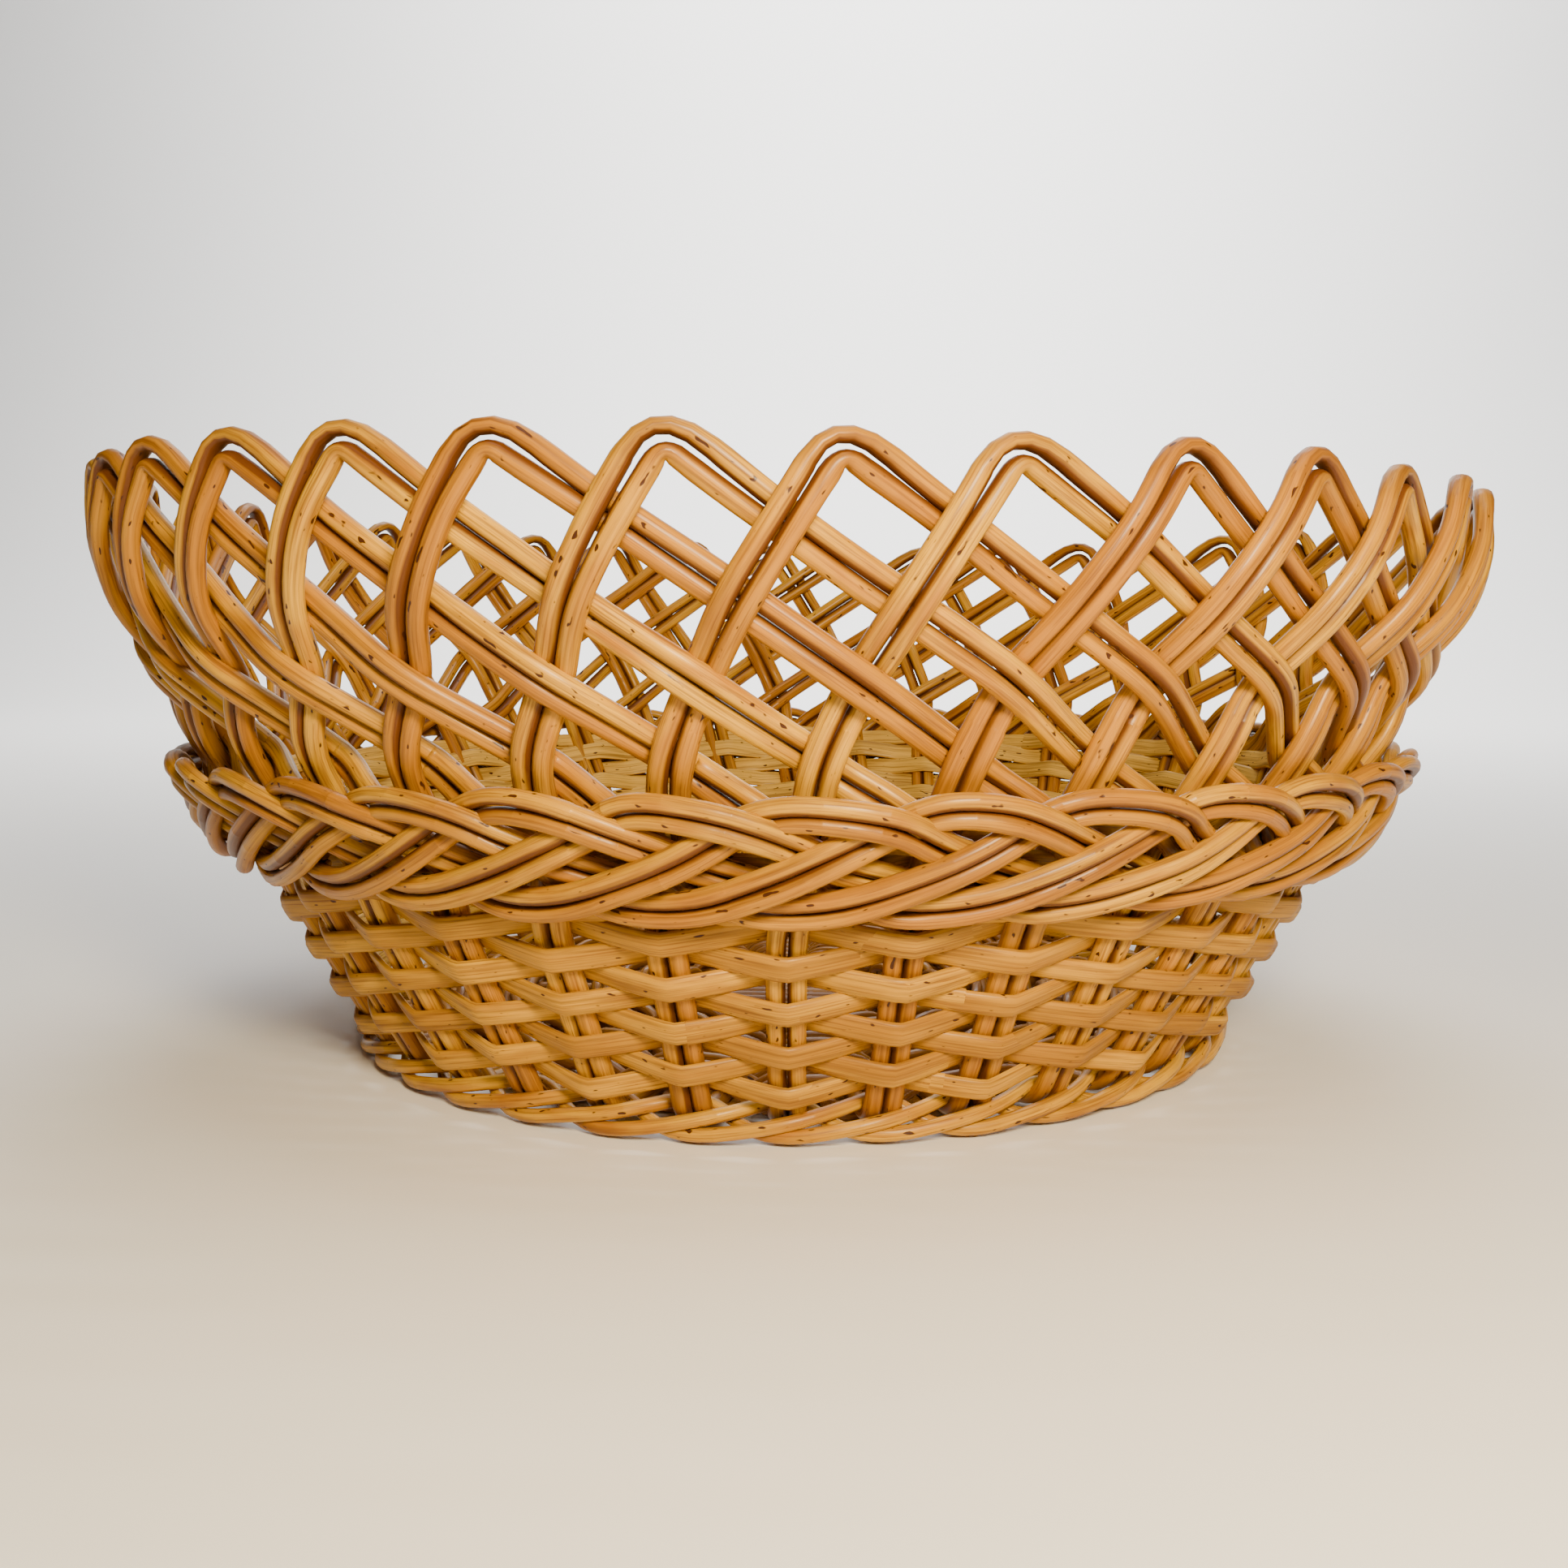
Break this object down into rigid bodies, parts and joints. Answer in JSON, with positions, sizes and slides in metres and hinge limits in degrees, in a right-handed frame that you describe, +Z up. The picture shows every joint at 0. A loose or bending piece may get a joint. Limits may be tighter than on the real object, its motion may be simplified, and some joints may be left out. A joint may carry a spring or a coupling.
{
  "type": "woven fruit basket",
  "caption": "Round open basket of woven willow: flared strip wall, plaited band and a lattice rim of leaning paired arches.",
  "frame": {"origin": "on the basket's axis, in the plane that its base stands on", "axes": "+Z up along the basket's axis; -Y is towards a viewer, +X to the viewer's right"},
  "size_m": [0.4062, 0.4062, 0.1627],
  "materials": {
    "willow_rod": "round buff willow rod under clear varnish, golden tan to orange brown",
    "split_willow": "split willow strip, varnished bark-side face outside and pale flat cut face inside",
    "base_stick": "thick round willow stick, thin varnish",
    "base_weaver": "thin round willow weaver, thin varnish"
  },
  "bodies": {
    "root": {"stake_pair_01": "willow_rod", "stake_pair_02": "willow_rod", "stake_pair_03": "willow_rod", "stake_pair_04": "willow_rod", "stake_pair_05": "willow_rod", "stake_pair_06": "willow_rod", "stake_pair_07": "willow_rod", "stake_pair_08": "willow_rod", "stake_pair_09": "willow_rod", "stake_pair_10": "willow_rod", "stake_pair_11": "willow_rod", "stake_pair_12": "willow_rod", "stake_pair_13": "willow_rod", "stake_pair_14": "willow_rod", "stake_pair_15": "willow_rod", "stake_pair_16": "willow_rod", "stake_pair_17": "willow_rod", "stake_pair_18": "willow_rod", "stake_pair_19": "willow_rod", "stake_pair_20": "willow_rod", "stake_pair_21": "willow_rod", "stake_pair_22": "willow_rod", "stake_pair_23": "willow_rod", "stake_pair_24": "willow_rod", "stake_pair_25": "willow_rod", "stake_pair_26": "willow_rod", "stake_pair_27": "willow_rod", "stake_pair_28": "willow_rod", "stake_pair_29": "willow_rod", "stake_pair_30": "willow_rod", "stake_pair_31": "willow_rod", "stake_pair_32": "willow_rod", "stake_pair_33": "willow_rod", "stake_pair_34": "willow_rod", "stake_pair_35": "willow_rod", "stake_pair_36": "willow_rod", "wall_row_1": "split_willow", "wall_row_2": "split_willow", "wall_row_3": "split_willow", "wall_row_4": "split_willow", "wall_row_5": "split_willow", "wall_row_6": "split_willow", "wall_row_7": "split_willow", "wall_row_8": "split_willow", "foot_wale_rod_1": "willow_rod", "foot_wale_rod_2": "willow_rod", "foot_wale_rod_3": "willow_rod", "base_pierced_sticks": "base_stick", "base_cross_sticks": "base_stick", "base_weave_inner": "base_weaver", "base_weave_middle": "base_weaver", "base_weave_outer": "base_weaver"}
  },
  "joints": []
}
